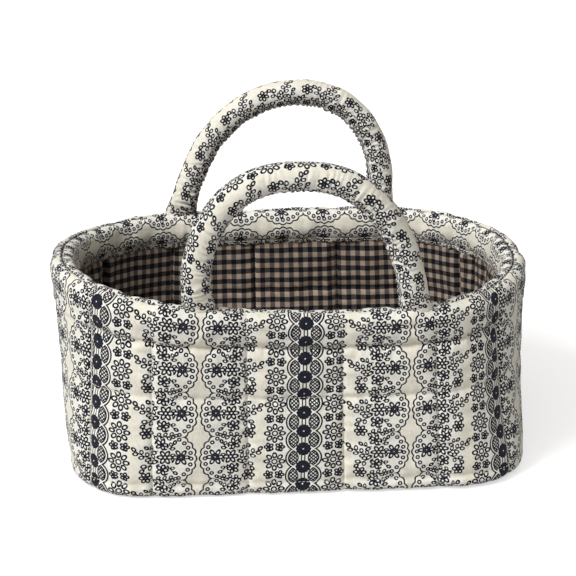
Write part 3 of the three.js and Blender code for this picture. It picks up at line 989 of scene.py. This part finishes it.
# %% Lining of the walls
LINING_DEPTH = 11.0
LINING_PATH = [
    [LINING_DEPTH - 0.6, WAIST + 3.0],
    [LINING_DEPTH, WAIST - 10.0],
    [LINING_DEPTH, 16.0],
    [LINING_DEPTH + 1.6, 12.4],
    [LINING_DEPTH + 6.0, 11.0],
]
LINING_PUFF = 2.4
LINING_SLACK = 0.7
LOOSE_END = 2.6
SEAM_GROOVE = 1.6
CORNER_FOLD_AT = 172.0
CORNER_FOLD_DEPTH = 5.0
CORNER_FOLD_HEIGHT = 3.0
lining_path, lining_along = smooth_path(LINING_PATH, GRID)
LINING_LENGTH = lining_along[-1]


def make_lining(name, side, shift, seed):
    """Half of the lining wall, quilted with the outer panel and a little slack."""
    columns = quilt_columns(shift)
    shares = panel_shares(side, columns[1:-1])
    u, v = np.meshgrid((shares - side) * ROUND, lining_along)
    rows = [np.interp(-height, -lining_path[:, 1], lining_along) for height in QUILT_HEIGHTS]
    from_corner = np.abs(u) - CORNER_FOLD_AT
    fold = CORNER_FOLD_HEIGHT * bell(from_corner - 9, 6) - CORNER_FOLD_DEPTH * bell(from_corner, 3.2)
    sewn = fold * np.clip(1.2 - v / 120, 0, 1) - SEAM_GROOVE * bell(distance_to(u, columns), 1.1)
    slack = LINING_SLACK * ripples(u, v, 26.0, seed + 9, 2.5)
    loose_end = LOOSE_END * ripples(u, v * 0.3, 19.0, seed + 5) * np.clip(np.abs(u) / 110 - 1, 0, 1)
    lift = (quilt_lift(u, v, columns, rows, seed, LINING_PUFF) + sewn) * np.clip(v / 4, 0.2, 1)
    lift = lift + (slack + loose_end) * np.clip(v / 10, 0, 1)
    return cloth_object(name, wall_grid(lining_path, shares, lift), u, v, gingham_cotton)


lining_front = make_lining("lining_front_cloth", 0.0, FRONT_QUILT_SHIFT, seed=61)
lining_back = make_lining("lining_back_cloth", 0.5, BACK_QUILT_SHIFT, seed=67)
print("lining depth", round(LINING_LENGTH, 1))

# %% [markdown]
# The base is two flat quilted pieces: printed cloth below, checks above. A disc of rings that shrink to
# the middle keeps the quads even, and the same quilting formula works on its x and y. The handles are made
# of closed rings too, so one helper joins rings for both.

# %% Base
BASE_SIDES = 260
BASE_RINGS = 60
SMALLEST_RING = 0.004
BASE_CLOTH_HEIGHT = 1.2
BASE_CLOTH_INSET = 1.2
FLOOR_LINING_HEIGHT = 10.4
FLOOR_LINING_GAP = 2.0
FLOOR_LINING_PUFF = 3.0


def ringed_mesh(points, across, along, round_step=0.0):
    """Rows of points joined into closed rings. The map goes on by a step where a ring closes."""
    mesh = bmesh.new()
    uv = mesh.loops.layers.uv.new("cloth_mm")
    rows, columns = points.shape[:2]
    made = [[mesh.verts.new(points[r, c] * MM) for c in range(columns)] for r in range(rows)]
    for r in range(rows - 1):
        for c in range(columns):
            after = (c + 1) % columns
            corners = ((r, c), (r, after), (r + 1, after), (r + 1, c))
            face = mesh.faces.new([made[row][column] for row, column in corners])
            face.smooth = True
            for loop, (row, column) in zip(face.loops, corners):
                closing = round_step if column < c else 0.0
                loop[uv].uv = (across[row, column] + closing, along[row, column])
    return mesh, made


def cloth_piece(name, mesh, material):
    """A piece of the basket from a finished ring mesh."""
    data = bpy.data.meshes.new(name)
    mesh.to_mesh(data)
    mesh.free()
    data.materials.append(material)
    return linked(name, data)


def make_floor_piece(name, height, depth, upwards, material, seed, puff):
    """A flat quilted piece that fills the base's outline, facing up or down."""
    shares = np.linspace(0, 1, BASE_SIDES, endpoint=False)
    rings = np.linspace(1.0, SMALLEST_RING, BASE_RINGS)[:, None]
    x, y = outline(shares, np.full_like(shares, height), np.full_like(shares, depth))
    grid_x = rings * x
    grid_y = rings * y
    places = QUILT_SPACING * (np.arange(-3, 4) + 0.5)
    lift = quilt_lift(grid_x, grid_y, places, places, seed, puff).clip(0)
    lift = lift * np.clip((1 - rings) * 12, 0, 1)
    set_x, set_y = settled(grid_x, grid_y, np.full_like(grid_x, height))
    grid_x = grid_x + (set_x - grid_x) * rings**3
    grid_y = grid_y + (set_y - grid_y) * rings**3
    if not upwards:
        grid_x, grid_y, lift = grid_x[::-1], grid_y[::-1], -lift[::-1]
    mesh, made = ringed_mesh(np.stack([grid_x, grid_y, height + lift], -1), grid_x, grid_y)
    cap = mesh.faces.new(made[-1] if upwards else made[0])
    cap.smooth = True
    bmesh.ops.recalc_face_normals(mesh, faces=mesh.faces[:])
    if (cap.normal.z > 0) != upwards:
        bmesh.ops.reverse_faces(mesh, faces=mesh.faces[:])
    return cloth_piece(name, mesh, material)


base_depth = BASE_EDGE + BASE_CLOTH_INSET
base_cloth = make_floor_piece(
    "outer_base_quilt", BASE_CLOTH_HEIGHT, base_depth, False, printed_cotton, 71, 0.0
)
floor_depth = LINING_DEPTH + FLOOR_LINING_GAP
floor_lining = make_floor_piece(
    "floor_lining_quilt", FLOOR_LINING_HEIGHT, floor_depth, True, gingham_cotton, 73, FLOOR_LINING_PUFF
)
print("base faces:", len(base_cloth.data.polygons), "floor faces:", len(floor_lining.data.polygons))

# %% [markdown]
# A handle is a cloth tube stuffed with wadding. Its centre line is half an oval that leans out a little
# and is pushed sideways, and its feet are pinched flat where the rim's top seam holds them. The cloth is
# too long on the inside of the bend, so it gathers in folds there.

# %% The line of a handle
HANDLE_RADIUS = 10.9
HANDLE_RISE = 101.0
HANDLE_LEAN = np.radians(6.0)
HANDLE_PLANE = MOUTH_HALF[1] + RIM_OVERHANG - RIM_THICKNESS / 2
HINGE_ABOVE_RIM = 11.3
FOOT_SINK = 7.0
TUBE_RINGS = 390
LINE_SAMPLES = 600
BEND_SOFTNESS = 17


def bent(value, power):
    """A power that keeps the sign, to make a curve fuller or flatter."""
    return np.sign(value) * np.abs(value) ** power


def handle_line(spec):
    """Centre line of a handle from foot to foot."""
    turn = np.linspace(0, np.pi, LINE_SAMPLES)
    lifted = np.sin(turn).clip(0)
    x = spec["offset"] - spec["span"] / 2 * bent(np.cos(turn), spec["flatness"])
    x = x + spec["shift"] * lifted ** spec["shift_spread"]
    rise = HANDLE_RISE * lifted ** spec["fullness"]
    leaning = np.clip(rise - HINGE_ABOVE_RIM, 0, None)
    y = spec["side"] * (HANDLE_PLANE + leaning * np.sin(HANDLE_LEAN))
    x = x - spec["left_spread"] * np.clip(1 - rise / 40, 0, 1) ** 1.5 * (np.cos(turn) > 0)
    sag = mouth_sag(x, y) * np.clip(1 - rise / 60, 0, 1)
    z = BODY_HEIGHT + rise - leaning * (1 - np.cos(HANDLE_LEAN)) + sag
    points = np.stack([x, y, z], -1)
    sink = np.array([0, 0, FOOT_SINK])
    points, _ = evened(np.vstack([points[0] - sink, points, points[-1] - sink]), TUBE_RINGS)
    return evened(softened(points, BEND_SOFTNESS), TUBE_RINGS)


front_spec = {
    "name": "front_handle_padded", "side": -1, "offset": 4.3, "span": 164.5, "shift": -5.9,
    "flatness": 0.81, "fullness": 1.07, "shift_spread": 0.8, "seam_at": (-5.0, 38.0, 88.0), "seed": 81,
    "left_spread": -3.2, "flare": 0.1,
}
rear_spec = {
    "name": "rear_handle_padded", "side": 1, "offset": 1.4, "span": 167.4, "shift": 14.0,
    "flatness": 0.96, "fullness": 0.9, "shift_spread": 0.94, "seam_at": (229.0, 258.0, 268.0), "seed": 91,
    "left_spread": 3.5, "flare": 0.2,
}
for spec in (front_spec, rear_spec):
    print(spec["name"], "centre line", round(handle_line(spec)[1][-1], 1), "mm")

# %% [markdown]
# The tube is sewn along its length, and its seam winds round it from foot to foot, so the print does too.
# Folds come from a wave along the tube that is strong only on the inside of the bend. A real tube is
# pulled over its filling and slides about, so the wave is warped until no two folds are alike.

# %% Handles
TUBE_SIDES = 44
FOLD_SPACING = 5.2
FOLD_LEVEL = 0.64
PINCH_OVER = 18.0
PINCHED_BY = 0.45
HANDLE_CLOTH_WIDTH = 71.6
HANDLE_PRINT_EDGE = 49.0


def gathered_folds(along, around, inner, seed):
    """Cross folds of cloth that is too long for the inside of the bend."""
    warped = along + 2.2 * ripples(along, around, 24.0, seed) + around * 0.08
    sharp = np.abs(np.sin(np.pi * warped / FOLD_SPACING)) - FOLD_LEVEL
    finer = np.abs(np.sin(np.pi * (warped * 1.7 + 1.0) / FOLD_SPACING)) - FOLD_LEVEL
    patchy = 0.65 + 0.35 * ripples(along, around, 30.0, seed + 5)
    return (2.0 * sharp + 0.7 * finer) * patchy * (0.1 + 0.9 * inner**0.8)


def seam_turn(degrees, share):
    """Where the tube's own seam lies round it, from the left foot over the crown to the right foot."""
    left, crown, right = np.radians(degrees)
    return left + (right - left) * share + (4 * crown - 2 * left - 2 * right) * share * (1 - share)


def unit(vectors):
    """Each row of vectors made one long."""
    return vectors / np.linalg.norm(vectors, axis=1)[:, None]


def make_handle(spec):
    """The padded tube of one handle."""
    line, along = handle_line(spec)
    tangent = unit(np.gradient(line, axis=0))
    across = unit(np.cross(tangent, np.array([0.0, spec["side"], 0.0])))
    facing = np.cross(across, tangent)
    length = along[-1]
    from_seam = np.linspace(0, 2 * np.pi, TUBE_SIDES, endpoint=False)
    from_seam, way = np.meshgrid(from_seam, along)
    angle = from_seam + seam_turn(spec["seam_at"], way / length)
    from_foot = np.minimum(way, length - way) - FOOT_SINK
    pinch = np.clip(1 - from_foot / PINCH_OVER, 0, 1) ** 1.6
    inner = 0.5 - 0.5 * np.cos(angle) * spec["side"]
    around = HANDLE_RADIUS * angle
    creases = gathered_folds(way, around, inner, spec["seed"])
    lumps = 0.3 * ripples(way, around, 26.0, spec["seed"] + 1)
    foot_gathers = 0.5 * np.sin(angle * 13 + 2.0 * ripples(way, around, 30.0, spec["seed"] + 2)) * pinch
    radius = HANDLE_RADIUS + creases + lumps + foot_gathers
    wide = radius * (1 + spec["flare"] * pinch) * np.cos(angle)
    thin = radius * (1 - PINCHED_BY * pinch) * np.sin(angle)
    points = line[:, None] + wide[..., None] * across[:, None] + thin[..., None] * facing[:, None]
    cloth_across = HANDLE_PRINT_EDGE - HANDLE_CLOTH_WIDTH * from_seam / (2 * np.pi)
    mesh, made = ringed_mesh(points, cloth_across, way, -HANDLE_CLOTH_WIDTH)
    mesh.faces.new(made[0])
    mesh.faces.new(made[-1])
    bmesh.ops.recalc_face_normals(mesh, faces=mesh.faces[:])
    return cloth_piece(spec["name"], mesh, printed_cotton)


front_handle = make_handle(front_spec)
rear_handle = make_handle(rear_spec)
print("handle faces:", len(front_handle.data.polygons), "each")

# %% [markdown]
# A stitch is a short length of thread, and a seam repeats it hundreds of times along a line, which is work
# for Geometry Nodes: the tree walks along a curve at an even step and sets one small stitch at each place,
# turned along the seam. At the end of the tree the stitches become real faces and get their thread.


# %% Stitches
STITCH_SIDES = 6
STITCH_RINGS = 4


def stitch_tree():
    """A node tree that sews one stitch at every step along the curves."""
    tree = bpy.data.node_groups.new("sewn_stitches", "GeometryNodeTree")
    tree.interface.new_socket("Geometry", in_out="INPUT", socket_type="NodeSocketGeometry")
    for name in ("Stitch step", "Stitch length", "Thread radius"):
        tree.interface.new_socket(name, in_out="INPUT", socket_type="NodeSocketFloat")
    tree.interface.new_socket("Thread", in_out="INPUT", socket_type="NodeSocketMaterial")
    tree.interface.new_socket("Geometry", in_out="OUTPUT", socket_type="NodeSocketGeometry")
    add = tree.nodes.new
    link = tree.links.new
    inputs = add("NodeGroupInput")
    places = add("GeometryNodeResampleCurve")
    places.mode = "LENGTH"
    link(inputs.outputs["Geometry"], places.inputs["Curve"])
    link(inputs.outputs["Stitch step"], places.inputs["Length"])
    tangent = add("GeometryNodeInputTangent")
    turn = add("FunctionNodeAlignRotationToVector")
    turn.axis = "Z"
    link(tangent.outputs[0], turn.inputs["Vector"])
    stitch = add("GeometryNodeMeshUVSphere")
    stitch.inputs["Segments"].default_value = STITCH_SIDES
    stitch.inputs["Rings"].default_value = STITCH_RINGS
    link(inputs.outputs["Thread radius"], stitch.inputs["Radius"])
    ratio = add("ShaderNodeMath")
    ratio.operation = "DIVIDE"
    link(inputs.outputs["Stitch length"], ratio.inputs[0])
    link(inputs.outputs["Thread radius"], ratio.inputs[1])
    halved = add("ShaderNodeMath")
    halved.operation = "MULTIPLY"
    halved.inputs[1].default_value = 0.5
    link(ratio.outputs[0], halved.inputs[0])
    scale = add("ShaderNodeCombineXYZ")
    scale.inputs[0].default_value = 1.0
    scale.inputs[1].default_value = 1.0
    link(halved.outputs[0], scale.inputs[2])
    sewn = add("GeometryNodeInstanceOnPoints")
    link(places.outputs[0], sewn.inputs["Points"])
    link(stitch.outputs["Mesh"], sewn.inputs["Instance"])
    link(turn.outputs[0], sewn.inputs["Rotation"])
    link(scale.outputs[0], sewn.inputs["Scale"])
    real = add("GeometryNodeRealizeInstances")
    link(sewn.outputs[0], real.inputs[0])
    coloured = add("GeometryNodeSetMaterial")
    link(real.outputs[0], coloured.inputs["Geometry"])
    link(inputs.outputs["Thread"], coloured.inputs["Material"])
    outputs = add("NodeGroupOutput")
    link(coloured.outputs[0], outputs.inputs[0])
    return tree


SEWING = stitch_tree()


def sew(name, seams, thread, step, length, radius):
    """Sews seams, each a list of points in millimetres, into one plain mesh of stitches."""
    sizes = {"Stitch step": step * MM, "Stitch length": length * MM, "Thread radius": radius * MM}
    sizes["Thread"] = thread
    curve = bpy.data.curves.new(name + "_lines", "CURVE")
    curve.dimensions = "3D"
    for seam in seams:
        spline = curve.splines.new("POLY")
        spline.points.add(len(seam) - 1)
        spline.points.foreach_set("co", np.c_[np.array(seam) * MM, np.ones(len(seam))].ravel())
    line = linked(name + "_lines", curve)
    modifier = line.modifiers.new("sewing", "NODES")
    modifier.node_group = SEWING
    for item in SEWING.interface.items_tree:
        if item.name in sizes:
            modifier[item.identifier] = sizes[item.name]
    line.update_tag()
    bpy.context.view_layer.update()
    depsgraph = bpy.context.evaluated_depsgraph_get()
    mesh = bpy.data.meshes.new_from_object(line.evaluated_get(depsgraph), depsgraph=depsgraph)
    mesh.name = name
    bpy.data.objects.remove(line)
    bpy.data.curves.remove(curve)
    return linked(name, mesh)


# %% [markdown]
# The seams follow the cloth's own grid. A row of it is a seam round the body, a column is one from rim to
# base, and the thread lies just off the surface. The grid has extra columns at every seam, so the stitches
# meet the groove.

# %% Seams
SEAM_OFFSET = 0.12


def grid_line(piece, rows, columns, row=None, column=None):
    """Points along one row or column of a cloth's grid, in millimetres, just off its surface."""
    places = np.empty(len(piece.data.vertices) * 3)
    piece.data.vertices.foreach_get("co", places)
    normals = np.empty(len(piece.data.vertices) * 3)
    piece.data.vertices.foreach_get("normal", normals)
    raised = (places + normals * SEAM_OFFSET * MM).reshape(rows, columns, 3) / MM
    return raised[row] if row is not None else raised[:, column]


def nearest(places, place):
    """Index of the place nearest to one that is asked for."""
    return int(np.argmin(np.abs(places - place)))


def panel_seams(piece, along, heights, columns_at, last_along):
    """The quilting seams of one panel: rows at some heights, and the columns up to a last place."""
    shares = panel_shares(0.0, columns_at[1:-1])
    size = len(along), len(shares)
    seams = [grid_line(piece, *size, row=nearest(along, place)) for place in heights]
    for place in columns_at[1:-1]:
        column = nearest(shares * ROUND, place)
        seams.append(grid_line(piece, *size, column=column)[2:nearest(along, last_along)])
    return seams


outer_seams = []
for panel, columns in ((outer_front, front_columns), (outer_back, back_columns)):
    outer_seams += panel_seams(panel, outer_along, outer_rows, columns, OUTER_LENGTH - 4)
quilting_thread = sew("quilting_stitches", outer_seams, pale_thread, step=3.2, length=2.2, radius=0.27)
lining_seams = []
for panel, shift in ((lining_front, FRONT_QUILT_SHIFT), (lining_back, BACK_QUILT_SHIFT)):
    lining_seams += panel_seams(panel, lining_along, [], quilt_columns(shift), LINING_LENGTH - 6)
lining_thread = sew("lining_stitches", lining_seams, navy_thread, step=2.6, length=2.5, radius=0.42)
band_size = len(facing_along), len(panel_shares(0.0))
hem_row = nearest(facing_along, FACING_LENGTH - HEM_SEAM)
hem_seams = [grid_line(band, *band_size, row=hem_row) for band in (facing_front, facing_back)]
hem_thread = sew("hem_stitches", hem_seams, white_thread, step=3.6, length=2.5, radius=0.5)
for thread in (quilting_thread, lining_thread, hem_thread):
    print(thread.name, len(thread.data.polygons), "faces")

# %% [markdown]
# A pale floor and soft daylight from the left. A floor that is bright enough to look white would also
# light the basket from below, so it is white to the camera alone: to the basket it is a pale table, and it
# still takes the basket's shadow. The world does the same, and lights the basket with a weak warm colour.

# %% Floor and light
FLOOR_HALF = 6.0
FLOOR_GREY = (0.55, 0.55, 0.55, 1.0)
FLOOR_GLOW = 0.6
WORLD_STRENGTH = 0.16
WARM_FILL = (1.0, 0.90, 0.78, 1.0)
WHITE = (1.0, 1.0, 1.0, 1.0)


def seen_directly(start):
    """1 where a surface is seen by the camera, in a reflection or through glass."""
    sockets = start.node("ShaderNodeLightPath").socket.node.outputs
    rays = ("Is Camera Ray", "Is Glossy Ray", "Is Transmission Ray")
    camera, glossy, clear = (Sum(start.tree, sockets[ray]) for ray in rays)
    return camera | glossy | clear


def make_floor():
    """A large floor that is white in the picture and keeps a soft shadow."""
    mesh = bpy.data.meshes.new("floor")
    corners = [(-1, -1, 0), (1, -1, 0), (1, 1, 0), (-1, 1, 0)]
    mesh.from_pydata((np.array(corners) * FLOOR_HALF).tolist(), [], [(0, 1, 2, 3)])
    floor = linked("floor", mesh)
    material, shader, start = new_material("pale_floor")
    shader.inputs["Base Color"].default_value = FLOOR_GREY
    shader.inputs["Roughness"].default_value = 0.9
    table = Sum(start.tree, shader.outputs[0])
    glow = start.node("ShaderNodeEmission", {}, {"Color": WHITE, "Strength": FLOOR_GLOW})
    both = start.node("ShaderNodeAddShader", {}, {0: table, 1: glow})
    shown = start.node("ShaderNodeMixShader", {}, {0: seen_directly(start), 1: table, 2: both})
    start.tree.links.new(shown.socket, start.tree.nodes["Material Output"].inputs[0])
    mesh.materials.append(material)


def make_world(strength):
    """Even, slightly warm light from all round, white behind the object."""
    world = bpy.data.worlds.new("daylight")
    world.use_nodes = True
    bpy.context.scene.world = world
    start = Sum(world.node_tree, None)
    seen = seen_directly(start)
    tint = seen.mixed(WARM_FILL, WHITE)
    level = seen * (1.0 - strength) + strength
    background = world.node_tree.nodes["Background"]
    world.node_tree.links.new(tint.socket, background.inputs["Color"])
    world.node_tree.links.new(level.socket, background.inputs["Strength"])


def make_lamp(name, power, azimuth, elevation, softness):
    """A soft sun from a direction given in degrees round the front and above the floor."""
    data = bpy.data.lights.new(name, "SUN")
    data.energy = power
    data.angle = np.radians(softness)
    lamp = linked(name, data)
    a, e = np.radians(azimuth), np.radians(elevation)
    towards = Vector((np.sin(a) * np.cos(e), -np.cos(a) * np.cos(e), np.sin(e)))
    lamp.rotation_euler = towards.to_track_quat("Z", "Y").to_euler()
    return lamp


make_floor()
make_world(WORLD_STRENGTH)
window = make_lamp("window", power=2.3, azimuth=-58, elevation=43, softness=20)
sky = make_lamp("sky", power=1.35, azimuth=-20, elevation=60, softness=60)
print("lamps:", window.name, round(window.data.energy, 2), sky.name, round(sky.data.energy, 2))

# %% [markdown]
# Last, the basket's cloth and its thread are tied to the body that carries them, and each handle's cloth
# stays where it was made. The imported solids that the cloth stands for hide.

# %% What carries each piece
FOOT_ABOVE_RIM = 1.0
KNEE_ABOVE_RIM = HINGE_ABOVE_RIM + 13.0
for cloth, nodes in (
    (outer_front, ("outer_front_panel", "wall_wadding_front", "rim_filler_front")),
    (outer_back, ("outer_back_panel", "wall_wadding_back", "rim_filler_back")),
    (facing_front, ("rim_facing_front", "front_handle_left_tab", "front_handle_right_tab")),
    (facing_back, ("rim_facing_back", "rear_handle_left_tab", "rear_handle_right_tab")),
    (lining_front, ("lining_front",)),
    (lining_back, ("lining_back",)),
    (base_cloth, ("outer_base_panel", "base_wadding")),
    (floor_lining, ("lining_base",)),
):
    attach(cloth, "basket")
    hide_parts(*nodes)
    "gingham_cotton" if cloth.data.materials[0] == gingham_cotton else "printed_cotton"

for thread in (quilting_thread, lining_thread, hem_thread):
    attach(thread, "basket")

for cloth, name, side in ((front_handle, "front_handle", -1), (rear_handle, "rear_handle", 1)):
    foot = (0.0, side * HANDLE_PLANE * MM, (BODY_HEIGHT + FOOT_ABOVE_RIM) * MM)
    knee = (0.0, side * HANDLE_PLANE * MM, (BODY_HEIGHT + KNEE_ABOVE_RIM) * MM)
    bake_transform(cloth)
    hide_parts(name + "_cover", name + "_filler")

print("handles bend from", FOOT_ABOVE_RIM, "to", round(KNEE_ABOVE_RIM, 1), "mm above the rim")
